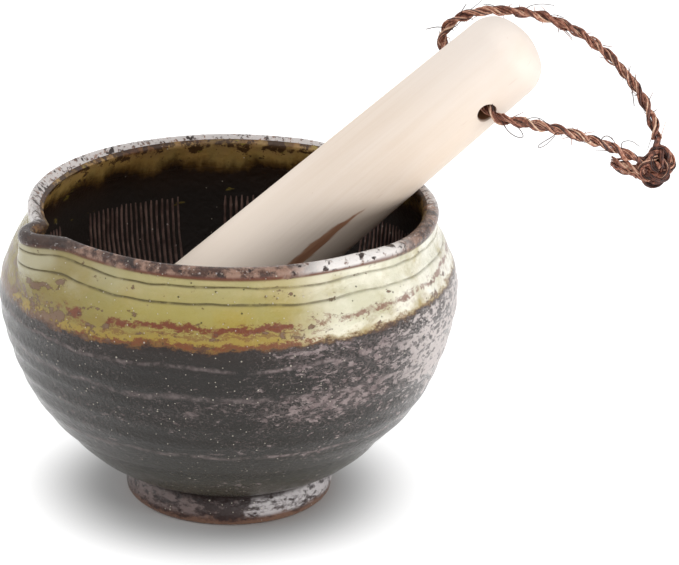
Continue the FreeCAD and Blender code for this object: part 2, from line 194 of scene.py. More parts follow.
def line_piece(name, lines, widths, tints):
    """Lines of points in metres as one mesh of edges, each with its widths and its tint."""
    mesh = bpy.data.meshes.new(name)
    spots, edges, wide, tone = [], [], [], []
    for line, width, tint in zip(lines, widths, tints):
        first = len(spots)
        spots += [tuple(spot) for spot in line]
        edges += [(first + k, first + k + 1) for k in range(len(line) - 1)]
        wide += list(width)
        tone += [tint] * len(line)
    mesh.from_pydata(spots, edges, [])
    piece = link(bpy.data.objects.new(name, mesh))
    add_values(piece, "width", wide)
    add_values(piece, "tint", tone)
    return piece


class Mix:
    """What is put together in one node tree: each call adds nodes and gives their value."""

    def __init__(self, tree):
        self.tree = tree

    def add(self, kind, inputs=None, **settings):
        node = self.tree.nodes.new(kind)
        for name, setting in settings.items():
            setattr(node, name, setting)
        for key, given in (inputs or {}).items():
            self.feed(node.inputs[key], given)
        return node

    def feed(self, socket, given):
        if isinstance(given, bpy.types.NodeSocket):
            self.tree.links.new(given, socket)
        else:
            socket.default_value = given

    def calc(self, operation, *terms):
        return self.add("ShaderNodeMath", dict(enumerate(terms)), operation=operation).outputs[0]

    def chain(self, operation, first, *others):
        for other in others:
            first = self.calc(operation, first, other)
        return first

    def times(self, *terms):
        return self.chain("MULTIPLY", *terms)

    def plus(self, *terms):
        return self.chain("ADD", *terms)

    def minus(self, *terms):
        return self.chain("SUBTRACT", *terms)

    def most(self, first, second):
        return self.calc("MAXIMUM", first, second)

    def off(self, value, middle):
        return self.calc("ABSOLUTE", self.minus(value, middle))

    def vector_calc(self, operation, *terms):
        inputs = dict(enumerate(terms))
        return self.add("ShaderNodeVectorMath", inputs, operation=operation).outputs[0]

    def joined(self, x=0.0, y=0.0, z=0.0):
        return self.add("ShaderNodeCombineXYZ", {"X": x, "Y": y, "Z": z}).outputs[0]

    def parts(self, vector):
        return self.add("ShaderNodeSeparateXYZ", {0: vector}).outputs

    def ease(self, amount, low, high, start=0.0, end=1.0):
        """From start to end as the amount goes from low to high, softly."""
        inputs = {0: amount, 1: low, 2: high, 3: start, 4: end}
        return self.add("ShaderNodeMapRange", inputs, interpolation_type="SMOOTHSTEP").outputs[0]

    def blend(self, share, first, second):
        first, second = ((*c, 1.0) if isinstance(c, tuple) else c for c in (first, second))
        inputs = {0: share, 6: first, 7: second}
        return self.add("ShaderNodeMix", inputs, data_type="RGBA").outputs[2]

    def ramp(self, amount, stops):
        node = self.add("ShaderNodeValToRGB", {0: amount})
        elements = node.color_ramp.elements
        while len(elements) < len(stops):
            elements.new(1.0)
        for element, (place, colour) in zip(elements, stops):
            element.position = place
            element.color = (*colour, 1.0)
        return node.outputs[0]

    def millimetres(self):
        place = self.add("ShaderNodeTexCoord").outputs["Object"]
        return self.vector_calc("MULTIPLY", place, (1 / MM, 1 / MM, 1 / MM))

    def placed_group(self, group, **inputs):
        node = self.add("ShaderNodeGroup", node_tree=group)
        for key, given in inputs.items():
            self.feed(node.inputs[key], given)
        return node.outputs


def new_group(name, inputs, outputs, kind="ShaderNodeTree"):
    """A node group with named sockets, given as (name, socket type, default)."""
    group = bpy.data.node_groups.new(name, kind)
    for label, socket, default in inputs:
        made = group.interface.new_socket(label, in_out="INPUT", socket_type=socket)
        if default is not None:
            made.default_value = default
    for label, socket in outputs:
        group.interface.new_socket(label, in_out="OUTPUT", socket_type=socket)
    start = group.nodes.new("NodeGroupInput")
    end = group.nodes.new("NodeGroupOutput")
    return Mix(group), start.outputs, end.inputs


NUMBER = "NodeSocketFloat"
WHOLE = "NodeSocketInt"
DIRECTION = "NodeSocketVector"
SHAPE = "NodeSocketGeometry"


def blotch_group():
    """Cloudy patches: larger Cover gives fewer, Stretch flattens them into streaks."""
    mix, given, out = new_group(
        "blotches",
        [("Place", DIRECTION, None), ("Scale", NUMBER, 1.0), ("Stretch", NUMBER, 1.0),
         ("Detail", NUMBER, 4.0), ("Raggedness", NUMBER, 0.6), ("Cover", NUMBER, 0.5),
         ("Edge", NUMBER, 0.05)],
        [("Mask", NUMBER), ("Cloud", NUMBER)])
    stretch = mix.joined(1.0, 1.0, given["Stretch"])
    cloud = mix.add("ShaderNodeTexNoise", {
        "Vector": mix.vector_calc("MULTIPLY", given["Place"], stretch),
        "Scale": given["Scale"], "Detail": given["Detail"],
        "Roughness": given["Raggedness"]}).outputs["Fac"]
    low = mix.minus(given["Cover"], given["Edge"])
    high = mix.plus(given["Cover"], given["Edge"])
    mix.feed(out["Mask"], mix.ease(cloud, low, high))
    mix.feed(out["Cloud"], cloud)
    return mix.tree


def speck_group():
    """Scattered round specks, Spacing apart, of which only a Share shows."""
    mix, given, out = new_group(
        "specks",
        [("Place", DIRECTION, None), ("Spacing", NUMBER, 2.0), ("Size", NUMBER, 0.25),
         ("Share", NUMBER, 0.4)],
        [("Mask", NUMBER)])
    scale = mix.calc("DIVIDE", 1.0, given["Spacing"])
    cells = mix.add("ShaderNodeTexVoronoi", {"Vector": given["Place"], "Scale": scale})
    reach = mix.times(cells.outputs["Distance"], given["Spacing"])
    inside = mix.ease(reach, given["Size"], mix.times(given["Size"], 0.6))
    chance = mix.add("ShaderNodeSeparateColor", {0: cells.outputs["Color"]}).outputs[0]
    picked = mix.calc("LESS_THAN", chance, given["Share"])
    mix.feed(out["Mask"], mix.times(inside, picked))
    return mix.tree


BLOTCHES = blotch_group()
SPECKS = speck_group()


class Finish(Mix):
    """A material in the making: a colour over which coats are laid, and its place in mm."""

    def __init__(self, name, own_place=None):
        self.material = bpy.data.materials.new(name)
        self.material.use_nodes = True
        super().__init__(self.material.node_tree)
        self.tree.nodes.clear()
        self.shader = self.add("ShaderNodeBsdfPrincipled")
        self.add("ShaderNodeOutputMaterial", {0: self.shader.outputs[0]})
        if own_place:
            own = self.add("ShaderNodeAttribute", attribute_name=own_place)
            self.place = own.outputs["Vector"]
        else:
            self.place = self.millimetres()
        self.colour = None

    def painted(self, name):
        return self.add("ShaderNodeAttribute", attribute_name=name).outputs["Fac"]

    def patches(self, scale, stretch, detail, ragged, cover, edge):
        return self.placed_group(
            BLOTCHES, Place=self.place, Scale=scale, Stretch=stretch, Detail=detail,
            Raggedness=ragged, Cover=cover, Edge=edge)["Mask"]

    def cloud(self, scale, stretch, detail, ragged):
        """A cloudy value round 0, from about -0.3 to 0.3."""
        value = self.placed_group(
            BLOTCHES, Place=self.place, Scale=scale, Stretch=stretch, Detail=detail,
            Raggedness=ragged)["Cloud"]
        return self.minus(value, 0.5)

    def cloudy(self, look, low, high, start=0.0, end=1.0):
        return self.ease(self.cloud(*look), low, high, start, end)

    def specks(self, spacing, size, share, change=None, by=(0.0, 0.0, 0.0)):
        place = self.vector_calc(change, self.place, by) if change else self.place
        return self.placed_group(
            SPECKS, Place=place, Spacing=spacing, Size=size, Share=share)["Mask"]

    def coat(self, colour, *shares):
        """Lays a colour over the one so far, as far as all the shares together let it."""
        self.colour = self.blend(self.times(*shares), self.colour, colour)

    def speckle(self, pale_share, pit_share):
        """Pale grains of sand, which also stand in as painted glints of light, and dark pits in the
        colour; gives how high they stand.
        """
        pale = self.specks(1.5, 0.21, pale_share)
        pale = self.most(pale, self.specks(3.6, 0.30, pale_share, "ADD", (31.0, 7.0, 13.0)))
        pits = self.specks(3.1, 0.32, pit_share, "ADD", (5.0, 19.0, 3.0))
        self.coat((0.02, 0.011, 0.006), pits, 0.75)
        # Painted glints: the pale specks are grains, and also stand in for light glinting off the
        # glaze.
        self.coat((0.60, 0.54, 0.45), pale, 0.7)
        return self.minus(pale, pits)

    def finished(self, dull, relief=None, depth=0.0, strength=0.0):
        self.feed(self.shader.inputs["Base Color"], self.colour)
        self.feed(self.shader.inputs["Roughness"], dull)
        if relief:
            bump = self.add("ShaderNodeBump", {
                "Height": relief, "Distance": depth, "Strength": strength})
            self.feed(self.shader.inputs["Normal"], bump.outputs[0])
        return self.material

    def fired(self, dull, relief):
        """A glaze: soft shine, and a fine grit under the specks."""
        self.shader.inputs["Specular IOR Level"].default_value = 0.32
        grit = self.plus(self.cloud(0.75, 1.0, 6.0, 0.65), self.times(relief, 0.5))
        return self.finished(dull, grit, 0.0006, 0.75)


# Colours up the outside and the inside, by their share of the rim's height.
OUTSIDE = [
    (0.000, (0.17, 0.095, 0.06)),
    (0.020, (0.15, 0.080, 0.055)),
    (0.035, (0.028, 0.013, 0.011)),
    (0.098, (0.016, 0.008, 0.007)),
    (0.115, (0.012, 0.009, 0.005)),
    (0.160, (0.032, 0.026, 0.010)),
    (0.260, (0.022, 0.018, 0.010)),
    (0.420, (0.012, 0.009, 0.006)),
    (0.700, (0.011, 0.008, 0.006)),
    (0.774, (0.015, 0.008, 0.005)),
    (0.780, (0.065, 0.022, 0.008)),
    (0.786, (0.190, 0.110, 0.020)),
    (0.796, (0.300, 0.205, 0.032)),
    (0.845, (0.300, 0.215, 0.032)),
    (0.880, (0.350, 0.270, 0.055)),
    (0.920, (0.385, 0.310, 0.110)),
    (0.960, (0.435, 0.365, 0.170)),
]
INSIDE = [
    (0.00, (0.012, 0.007, 0.006)),
    (0.80, (0.010, 0.006, 0.004)),
    (0.890, (0.016, 0.007, 0.003)),
    (0.915, (0.090, 0.045, 0.009)),
    (0.945, (0.310, 0.190, 0.055)),
    (0.970, (0.340, 0.205, 0.075)),
    (0.990, (0.130, 0.052, 0.016)),
    (1.00, (0.070, 0.026, 0.011)),
]
BROWN = (0.24, 1.7, 5.0, 0.62)


def upper_band(mix, x, level, left):
    """The upper glaze: cream towards the pestle's side, partly its own colour and partly a painted
    reflection, whitening towards the right edge; dimmer towards the lip's, with a painted
    reflection of the left light high up there.
    """
    upper = mix.ease(level, 64.5, 67.0)
    # Painted reflection: the cream on the pestle's side is in part the shine of the light on the
    # glaze, and whitens towards the right edge.
    cream = mix.blend(mix.ease(x, 36.0, 52.0), (0.80, 0.77, 0.64), (0.88, 0.86, 0.77))
    mix.coat(cream, mix.ease(x, 13.0, 31.0), mix.ease(level, 63.2, 65.4),
             mix.cloudy((0.09, 1.3, 4.0, 0.6), -0.30, 0.06), 0.92)
    mix.coat((0.30, 0.285, 0.10), mix.patches(0.05, 1.2, 4.0, 0.55, 0.50, 0.10), upper, 0.40)
    mix.coat((0.20, 0.090, 0.062), mix.ease(mix.off(level, 67.9), 0.85, 0.3),
             mix.ease(x, 0.0, 20.0), mix.cloudy((0.35, 0.6, 4.0, 0.6), -0.08, 0.02), 0.8)
    mix.coat((0.150, 0.115, 0.030), left, upper, 0.6)
    # Painted reflection: a light coat high up on the lip's side, where the left light shines on the
    # glaze.
    mix.coat((0.50, 0.47, 0.34), mix.cloudy((0.055, 1.0, 2.0, 0.5), -0.1, 0.1), left,
             mix.ease(level, 70.0, 74.0), 0.65)


def rust_lines(mix, x, level):
    """Lines of rust a little above the lower edge, whole in front and broken beyond."""
    front = mix.times(mix.ease(x, -44.0, -26.0), mix.ease(x, 30.0, 8.0))
    broken = mix.plus(front, mix.cloudy((0.13, 1.2, 6.0, 0.7), -0.10, 0.05))
    shown = mix.ease(broken, 0.75, 1.35)
    for height, width, strength in ((68.1, 1.0, 1.0), (66.2, 0.4, 0.6), (64.0, 0.5, 0.9)):
        line = mix.ease(mix.off(level, height), width * 1.25, width * 0.55)
        mix.coat((0.150, 0.036, 0.010), line, strength, shown)


def brown_patches(mix, level, left):
    """Brown patches with light cores, many on the lip's side, some along the lower edge."""
    more = mix.times(left, mix.ease(level, 75.0, 71.0), 0.13)
    cover = mix.minus(0.655, more, mix.ease(level, 69.0, 64.0, 0.0, 0.07))
    mix.coat((0.075, 0.028, 0.010), mix.patches(*BROWN, cover, 0.025),
             mix.ease(level, 62.0, 63.5), 0.85)
    mix.coat((0.22, 0.135, 0.085), mix.patches(*BROWN, mix.plus(cover, 0.035), 0.02),
             mix.ease(level, 63.0, 65.0), 0.55)


def lilac_bloom(mix, x, z, level):
    """Lilac-grey bloom on the dark body: flat streaks, and close mottling on the right, turning
    near white at the right edge as a painted reflection.
    """
    wide = mix.ease(x, -2.0, 24.0)
    band = mix.ease(mix.off(z, 53.0), 24.0, 5.0)
    cluster = mix.times(mix.cloud(0.045, 2.0, 2.0, 0.5), 0.32)
    # Near the right edge more of the bloom shows, as part of the painted reflection there.
    cover = mix.minus(0.645, mix.times(wide, band, 0.12), cluster,
                      mix.ease(x, 41.0, 56.0, 0.0, 0.065))
    bloom = mix.patches(0.36, 2.1, 7.0, 0.70, cover, 0.022)
    salt = mix.patches(1.3, 1.5, 3.0, 0.7, mix.plus(cover, -0.03), 0.05)
    bloom = mix.most(bloom, mix.times(salt, 0.38))
    wavy = mix.plus(z, mix.times(mix.cloud(0.05, 1.0, 4.0, 0.6), 6.0))
    broken = mix.cloudy((0.16, 0.8, 6.0, 0.75), -0.12, 0.08)
    for height, width in ((57.8, 0.45), (49.2, 0.7), (31.3, 0.45)):
        line = mix.ease(mix.off(wavy, height), width * 1.8, width * 0.3)
        bloom = mix.most(bloom, mix.times(line, 0.85, broken))
    bloom = mix.times(bloom, mix.ease(level, 63.4, 62.0), mix.ease(z, 9.0, 16.0),
                      mix.ease(wide, 0.0, 1.0, 0.48, 0.85))
    tint = mix.blend(mix.cloudy((0.5, 1.0, 3.0, 0.6), -0.15, 0.15), (0.150, 0.108, 0.106),
                     (0.29, 0.23, 0.222))
    # Painted reflection: the bloom turns near white towards the right edge.
    tint = mix.blend(mix.ease(x, 38.0, 54.0), tint, (0.60, 0.535, 0.515))
    mix.coat(tint, bloom)
    return bloom


# Mottled bloom on the foot ring: dim on the left, and on the right front a painted reflection of
# the light.
def foot_bloom_and_painted_reflection(mix, x, z):
    sides = mix.most(mix.ease(x, -3.0, -9.0), mix.ease(x, 4.0, 9.0))
    cover = mix.minus(0.60, mix.times(sides, 0.13))
    bloom_and_painted_reflection = mix.blend(mix.ease(x, 2.0, 8.0), (0.190, 0.140, 0.130), (0.58, 0.54, 0.54))
    mix.coat(bloom_and_painted_reflection, mix.ease(z, 8.6, 7.4), mix.patches(0.30, 2.2, 6.0, 0.66, cover, 0.09),
             mix.ease(z, 2.0, 3.4), mix.ease(z, 7.8, 6.4), 0.75)


def bead_colours(mix, x, y, z):
    """The bead: brown-black, with mauve and silver bloom, a painted highlight on its top at the
    front right, and rust along its lower edge.
    """
    wall = mix.colour
    mix.colour = mix.blend(mix.patches(0.25, 1.0, 6.0, 0.68, 0.5, 0.09),
                           (0.055, 0.024, 0.016), (0.285, 0.170, 0.122))
    mix.coat((0.026, 0.012, 0.008), mix.ease(x, -34.0, -42.0), mix.ease(y, -10.0, -18.0), 0.9)
    left_end = mix.times(mix.ease(x, -45.0, -50.0), mix.ease(y, -24.0, -17.0))
    around = mix.most(mix.ease(y, -16.0, 14.0), left_end)
    cover = mix.minus(0.64, mix.times(around, 0.20))
    mix.coat((0.66, 0.62, 0.605), mix.patches(0.7, 1.0, 5.0, 0.7, cover, 0.04),
             mix.ease(around, 0.0, 1.0, 0.45, 0.85))
    # Painted highlight: near-white patches on the bead's top at the front right, where the light
    # shines on it.
    mix.coat((0.80, 0.76, 0.73), mix.ease(x, 15.0, 27.0), mix.ease(x, 49.0, 42.0),
             mix.ease(y, -20.0, -34.0), mix.patches(0.3, 1.0, 5.0, 0.65, 0.39, 0.05),
             mix.ease(z, 79.0, 80.0), 0.9)
    mix.coat((0.024, 0.012, 0.009), mix.patches(0.33, 1.0, 4.0, 0.6, 0.60, 0.03))
    mix.coat((0.110, 0.024, 0.009), mix.ease(z, 80.6, 79.6), mix.ease(y, -25.0, -45.0),
             mix.cloudy((0.06, 1.0, 4.0, 0.6), -0.14, -0.02))
    bead, mix.colour = mix.colour, wall
    mix.coat(bead, mix.painted("bead"))


def glaze():
    mix = Finish("dripped_ash_glaze")
    x, y, z = mix.parts(mix.place)
    slow = mix.times(mix.cloud(0.030, 0.6, 2.0, 0.5), 4.5)
    rag = mix.times(mix.cloud(0.24, 1.8, 7.0, 0.78), 7.0)
    level = mix.plus(mix.plus(z, mix.times(x, -0.028)), mix.plus(slow, rag))
    mix.colour = mix.ramp(mix.calc("DIVIDE", level, RIM_HEIGHT), OUTSIDE)
    left = mix.ease(x, -14.0, -46.0)
    upper_band(mix, x, level, left)
    rust_lines(mix, x, level)
    brown_patches(mix, level, left)
    bloom = lilac_bloom(mix, x, z, level)
    foot_bloom_and_painted_reflection(mix, x, z)
    mix.coat((0.075, 0.056, 0.018), mix.painted("incised"),
             mix.cloudy((0.13, 1.0, 5.0, 0.7), -0.2, 0.06, 0.15, 0.9),
             mix.ease(x, 12.0, 36.0, 1.0, 0.55))
    bead_colours(mix, x, y, z)
    relief = mix.speckle(0.55, 0.4)
    dull = mix.plus(mix.ease(bloom, 0.0, 1.0, 0.14, 0.38),
                    mix.times(mix.cloud(0.3, 1.0, 3.0, 0.6), 0.3))
    return mix.fired(dull, relief)


def hollow_glaze():
    mix = Finish("hollow_glaze")
    z = mix.parts(mix.place)["Z"]
    drip = mix.times(mix.cloud(0.08, 0.5, 5.0, 0.65), 15.0)
    level = mix.calc("DIVIDE", mix.plus(z, drip), RIM_HEIGHT)
    mix.colour = mix.ramp(level, INSIDE)
    mix.coat((0.29, 0.235, 0.085), mix.patches(0.09, 0.8, 3.0, 0.6, 0.5, 0.08),
             mix.ease(level, 0.90, 0.93), 0.25)
    few = mix.ease(z, 79.5, 75.5, 0.0, 0.13)
    mix.coat((0.035, 0.013, 0.005),
             mix.patches(0.26, 1.2, 5.0, 0.68, mix.plus(0.50, few), 0.035),
             mix.ease(z, 70.0, 73.0), 0.9)
    mix.coat((0.26, 0.20, 0.035), mix.patches(0.13, 2.5, 3.0, 0.6, 0.68, 0.03),
             mix.ease(z, 60.0, 64.0), 0.8)
    relief = mix.speckle(0.1, 0.2)
    return mix.fired(mix.ease(z, 66.0, 74.0, 0.55, 0.25), relief)


def bare_ridges():
    mix = Finish("combed_clay")
    # Ridges of bare clay, lighter than the hollow in part as a painted highlight along them.
    mix.colour = mix.blend(mix.cloudy((0.3, 1.0, 4.0, 0.6), -0.2, 0.2),
                           (0.085, 0.048, 0.040), (0.250, 0.160, 0.136))
    # Pale grains, which also stand in as painted glints.
    mix.coat((0.75, 0.66, 0.60), mix.specks(2.2, 0.3, 0.3), 0.7)
    return mix.finished(0.4)


def pale_wood():
    mix = Finish("pale_pestle_wood", "own_place")
    grain = mix.plus(mix.cloud(0.28, 0.03, 4.0, 0.6),
                     mix.times(mix.cloud(1.5, 0.02, 3.0, 0.6), 0.6))
    mix.colour = mix.blend(mix.ease(grain, -0.3, 0.3), (0.815, 0.705, 0.610),
                           (0.765, 0.640, 0.530))
    height = mix.parts(mix.place)["Z"]
    mix.coat((0.805, 0.725, 0.665), mix.ease(height, 96.0, 146.0), 0.75)
    # Painted light: the wood is lighter towards the foot, lifting the shade it lies in near the
    # rim.
    mix.coat((0.89, 0.775, 0.665), mix.ease(height, 92.0, 58.0), 0.7)
    mix.coat((0.77, 0.60, 0.44), mix.cloudy((0.05, 0.4, 3.0, 0.5), -0.1, 0.25), 0.3)
    mix.coat((0.45, 0.27, 0.16), mix.specks(3.4, 0.13, 0.5, "MULTIPLY", (1.0, 1.0, 0.35)), 0.25)
    stain = mix.blend(mix.cloudy((0.9, 0.12, 4.0, 0.6), -0.2, 0.2), (0.50, 0.275, 0.165),
                      (0.35, 0.160, 0.088))
    mix.coat(stain, mix.painted("heartwood"))
    mix.coat((0.16, 0.07, 0.03), mix.painted("bored"))
    return mix.finished(0.55, grain, 0.00012, 0.5)


def palm_fibre():
    mix = Finish("palm_fibre")
    mottle = mix.times(mix.cloud(0.8, 1.0, 4.0, 0.7), 1.5)
    mix.colour = mix.ramp(mix.plus(mix.painted("tint"), mottle), [
        (0.0, (0.022, 0.007, 0.005)), (0.35, (0.095, 0.028, 0.016)),
        (0.60, (0.310, 0.112, 0.066)), (0.80, (0.540, 0.280, 0.190)),
        (1.0, (0.680, 0.470, 0.330))])
    return mix.finished(0.5)


GLAZE = glaze()
HOLLOW = hollow_glaze()
RIDGES = bare_ridges()
WOOD = pale_wood()
FIBRE = palm_fibre()


def turning(angle):
    return np.array([math.cos(angle), math.sin(angle)])


def rim_line():
    """Points and outward directions along the middle of the rim, lip included."""
    middle = RING + LIP_REACH - LIP_BEND
    turns = []
    leans = []
    centres = []
    for corner, side in zip(LIP_CORNERS, (-1, 1)):
        far = RING + corner
        cosine = (middle ** 2 + far ** 2 - (LIP_BEND + corner) ** 2) / (2 * middle * far)
        turn = math.acos(cosine)
        centre = far * np.array([math.cos(turn), side * math.sin(turn)])
        turns.append(turn)
        centres.append(centre)
        leans.append(math.atan2(abs(centre[1]), centre[0] - middle))
    line = []

    def stretch(centre, radius, start, end, step, inward):
        count = max(3, int(abs(end - start) * radius / step))
        for index in range(count):
            way = turning(start + (end - start) * index / count)
            line.append((centre + radius * way, -way if inward else way))

    origin = np.zeros(2)
    stretch(origin, RING, turns[1], 2 * math.pi - turns[0], 1.0, False)
    stretch(centres[0], LIP_CORNERS[0], math.pi - turns[0], math.pi - leans[0], 0.5, True)
    stretch(np.array([middle, 0.0]), LIP_BEND, -leans[0], leans[1], 0.5, False)
    stretch(centres[1], LIP_CORNERS[1], math.pi + leans[1], math.pi + turns[1], 0.7, True)
    spin = math.radians(LIP_AZIMUTH)
    square = np.array([[math.cos(spin), -math.sin(spin)], [math.sin(spin), math.cos(spin)]])
    points = np.array([point for point, _ in line]) @ square.T
    outward = np.array([way for _, way in line]) @ square.T
    return points, outward


def swelled(a, b, rise, count):
    """Points after a, up to b, along an arc that stands rise off the chord."""
    if not rise:
        return [(a[0] + (b[0] - a[0]) * k / count, a[1] + (b[1] - a[1]) * k / count)
                for k in range(1, count + 1)]
    a, b = np.array(a), np.array(b)
    chord = b - a
    length = np.hypot(*chord)
    side = np.array([chord[1], -chord[0]]) / length
    radius = (length ** 2 / 4 + rise ** 2) / (2 * abs(rise))
    centre = (a + b) / 2 + side * (rise - math.copysign(radius, rise))
    turn = math.copysign(2 * math.asin(length / 2 / radius), rise)
    arm = a - centre
    points = []
    for k in range(1, count + 1):
        c, s = math.cos(turn * k / count), math.sin(turn * k / count)
        points.append((centre[0] + c * arm[0] - s * arm[1], centre[1] + s * arm[0] + c * arm[1]))
    return points


def smooth_step(value, low, high):
    share = np.clip((value - low) / (high - low), 0.0, 1.0)
    return share * share * (3 - 2 * share)


def wall_radius():
    """Heights and radii of the turned outside, close together."""
    path = [WALL_ARCS[0][:2]]
    for radius, height, rise in WALL_ARCS[1:]:
        path += swelled(path[-1], (radius, height), rise, 60)
    return np.array(path)


def bowl_rows():
    """Rows from the middle of the recess, over the rim, to the bottom of the hollow.

    Each is radius, height, share of the lip's shape, inside, bead, depth cut, and cut mask.
    """
    rows = []

    def row(radius, height, lip=0.0, inner=0.0, bead=0.0, cut=0.0, mask=0.0):
        rows.append((radius, height, lip, inner, bead, cut, mask))

    foot = swelled((25.6, 0.0), (27.6, 1.6), 0.55, 5)
    foot += swelled((27.6, 1.6), WALL_ARCS[0][:2], 0.85, 12)
    for radius, height in RECESS + foot:
        row(radius, height)
    path = wall_radius()
    heights = list(np.arange(8.6, 60.0, 0.85)) + list(np.arange(60.0, 77.4, 0.6))
    near = []
    for level, depth in INCISED:
        heights = [h for h in heights if abs(h - level) > 0.65]
        near += [(level + off, depth * share, share) for off, share in CUT]
    wall = sorted([(h, 0.0, 0.0) for h in heights] + near)
    for height, cut, mask in wall:
        radius = np.interp(height, path[:, 1], path[:, 0])
        row(radius, height, smooth_step(height, LIP_ROOT, 77.0), 0.0, 0.0, cut, mask)
    count = 18
    for step in range(count + 1):
        angle = math.radians(-33 + (222 + 33) * step / count)
        bead = smooth_step(math.sin(angle), -0.6, -0.25)
        row(RING + BEAD * math.cos(angle), BEAD_HEIGHT + BEAD * math.sin(angle), 1.0,
            1.0 if angle > math.radians(120) else 0.0, bead)
    for step in range(1, 50):
        angle = math.radians(106.5 - 104.5 * step / 49)
        height = BALL_HEIGHT - BALL * math.cos(angle)
        row(BALL * math.sin(angle), height, smooth_step(height, CHANNEL_ROOT, 77.0), 1.0)
    return np.array(rows)


def uneven(azimuth, height):
    """How far the wall stands off its true round, in millimetres."""
    left = max(0.0, -math.cos(azimuth)) ** 2
    right = max(0.0, math.cos(azimuth)) ** 2
    return (np.interp(height, HEIGHTS_UNEVEN, LEFT_UNEVEN) * left
            + np.interp(height, HEIGHTS_UNEVEN, RIGHT_UNEVEN) * right)


def wander(azimuth, around, height):
    """Noise on the wall, closer together the further round it is taken."""
    return noise.noise(Vector((math.cos(azimuth) * around, math.sin(azimuth) * around, height)))


def hand_marks(azimuth, height):
    """How far a throwing ring or a hand's unevenness moves the outside, in millimetres."""
    ring = math.sin(2 * math.pi * (height / THROWN_PITCH + azimuth / (2 * math.pi)))
    ring += 0.6 * math.sin(2 * math.pi * (height / SLOW_PITCH - azimuth / (2 * math.pi)) + 1.3)
    fade = smooth_step(height, 9.0, 20.0) * (1 - 0.7 * smooth_step(height, 62.0, 70.0))
    thrown = THROWN_DEPTH * ring * fade
    by_hand = HAND_DEPTH * wander(azimuth, 1.4, height / 26.0) * fade
    return thrown + by_hand + uneven(azimuth, height)


def rim_rise(azimuth):
    """The rim stands a little higher away from the pestle."""
    near = 0.5 + 0.5 * math.cos(azimuth - math.radians(PESTLE_AZIMUTH))
    return RIM_RISE * (1.0 - smooth_step(near, 0.72, 0.93))


def under_pestle(radius):
    """Height of the pestle's underside at this radius, as it goes round the bowl."""
    lean = math.radians(PESTLE_TILT)
    aside = UP_PESTLE.xy.normalized().cross(HOLE_MIDDLE.xy) / MM
    reach = UP_PESTLE.xy.normalized().dot(HOLE_MIDDLE.xy) / MM
    along = math.sqrt(max(radius ** 2 - aside ** 2, 0.0))
    taper = (PESTLE_FOOT - PESTLE_HEAD) / PESTLE_LENGTH
    half = PESTLE_HEAD + HOLE_FROM_HEAD * taper + (reach - along) / math.cos(lean) * taper
    return HOLE_MIDDLE.z / MM - (reach - along) * math.tan(lean) - half / math.cos(lean)


def make_bowl():
    points, outward = rim_line()
    azimuth = np.arctan2(points[:, 1], points[:, 0])
    radial = np.stack([np.cos(azimuth), np.sin(azimuth)], 1)
    rows = bowl_rows()
    columns = len(points)
    spots = [(0.0, 0.0, RECESS_HEIGHT)]
    values = {"inner": [0.0], "bead": [0.0], "incised": [0.0]}
    for radius, height, lip, inner, bead, cut, mask in rows:
        for column in range(columns):
            angle = azimuth[column]
            out = radius - cut
            rise = 0.0
            if inner > 0.0 or bead >= 0.5:
                out += uneven(angle, height) * smooth_step(height, 66.0, 78.0)
            elif height > 8.0:
                out += hand_marks(angle, height)
                upper = smooth_step(height, 64.0, 72.0)
                rise = 1.1 * wander(angle, 2.2, height / 60.0) * upper
                rise += 0.4 * wander(angle, 9.0, height / 2.0) * upper
                rise *= 1.0 - smooth_step(height, 76.4, 77.7)
            rise += 0.4 * wander(angle, 1.7, 4.0) * smooth_step(height, 70.0, 79.0)
            rise += rim_rise(angle) * smooth_step(height, 20.0, 80.0)
            flat = (1 - lip) * out * radial[column]
            flat = flat + lip * (points[column] + outward[column] * (out - RING))
            top = height + rise
            if height > 75.0 and (inner > 0.0 or bead > 0.0):
                top = min(top, under_pestle(math.hypot(*flat)) - PESTLE_GAP)
            spots.append((flat[0], flat[1], top))
        values["inner"] += [inner] * columns
        values["bead"] += [bead] * columns
        values["incised"] += [mask] * columns
    spots.append((0.0, 0.0, BALL_HEIGHT - BALL))
    for name, last in (("inner", 1.0), ("bead", 0.0), ("incised", 0.0)):
        values[name].append(last)
    faces = round_faces(columns, len(rows))
    bowl = mesh_piece("glazed_bowl", np.array(spots) * MM, faces, GLAZE)
    bowl.data.materials.append(HOLLOW)
    inner = np.array(values.pop("inner")) > 0.5
    for face in bowl.data.polygons:
        if all(inner[corner] for corner in face.vertices):
            face.material_index = 1
    for name, numbers in values.items():
        add_values(bowl, name, numbers)
    return bowl


def swayed(mix, line, scale, detail, by):
    """The line with its points moved aside, by half of what is given at most."""
    waver = mix.add("ShaderNodeTexNoise", {"Scale": scale, "Detail": detail}).outputs["Color"]
    off = mix.vector_calc("MULTIPLY", mix.vector_calc("SUBTRACT", waver, (0.5, 0.5, 0.5)), by)
    return mix.add("GeometryNodeSetPosition", {"Geometry": line, "Offset": off}).outputs[0]


def tubes(mix, out, lines, sides, radius, scale, material):
    """Closed tubes along the lines, smooth and in their finish, as what the tree puts out."""
    ring = mix.add("GeometryNodeCurvePrimitiveCircle", {
        "Resolution": sides, "Radius": radius}, mode="RADIUS")
    shape = mix.add("GeometryNodeCurveToMesh", {
        "Curve": lines, "Profile Curve": ring.outputs[0], "Scale": scale, "Fill Caps": True})
    soft = mix.add("GeometryNodeSetShadeSmooth", {0: shape.outputs[0]})
    coated = mix.add("GeometryNodeSetMaterial", {
        "Geometry": soft.outputs[0], "Material": material})
    whole = mix.add("GeometryNodeRealizeInstances", {0: coated.outputs[0]})
    mix.feed(out["Shape"], whole.outputs[0])
    return mix.tree


